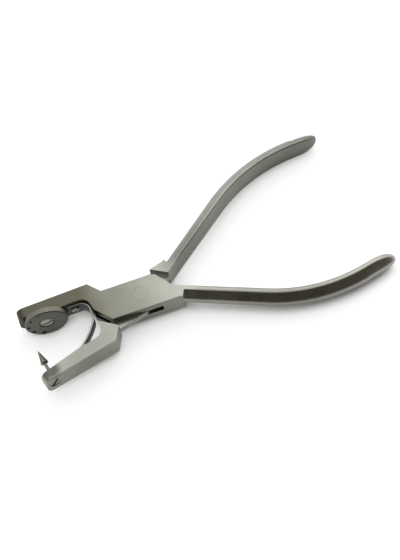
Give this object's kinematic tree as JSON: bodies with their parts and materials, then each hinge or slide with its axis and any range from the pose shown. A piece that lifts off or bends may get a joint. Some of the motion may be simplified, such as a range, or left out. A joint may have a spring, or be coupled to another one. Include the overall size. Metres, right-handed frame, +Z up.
{
  "type": "rubber dam punch",
  "caption": "Hand punch with two curved handles, a box joint, a bowed leaf spring, and a sharp point that closes on a turning drum of graded holes.",
  "frame": {"origin": "on the pivot's axis, at the lower ground face of the box joint", "axes": "+X towards the handles, with the jaws at -X; +Y towards the drum half's jaw; +Z up through the pivot pin"},
  "size_m": [0.1628, 0.081, 0.0195],
  "materials": {
    "forged_steel": "satin",
    "drum_steel": "satin",
    "screw_steel": "satin",
    "spring_steel": "satin",
    "point_steel": "fine turned"
  },
  "bodies": {
    "drum_side": {"drum_half": "forged_steel", "pivot_pin": "forged_steel", "drum_screw": "screw_steel", "detent_ball": "screw_steel", "detent_spring": "spring_steel", "leaf_spring": "spring_steel", "leaf_spring_screw": "screw_steel"},
    "point_side": {"point_half": "forged_steel", "punch_point": "point_steel", "point_lock_screw": "screw_steel"},
    "drum": {"hole_drum": "drum_steel"}
  },
  "joints": [
    {"name": "jaw_hinge", "type": "hinge", "parent": "drum_side", "child": "point_side", "pos_m": [0, 0, 0.00535], "axis": [0, 0, -1], "range_deg": [0, 13.4], "stiffness_Nm_per_rad": 1.5, "springref_deg": -5.73, "deforming": ["leaf_spring"]},
    {"name": "drum_turn", "type": "hinge", "parent": "drum_side", "child": "drum", "pos_m": [-0.0414, 0.01255, 0.00535], "axis": [0.1857, 0.9826, 0], "continuous": true}
  ]
}
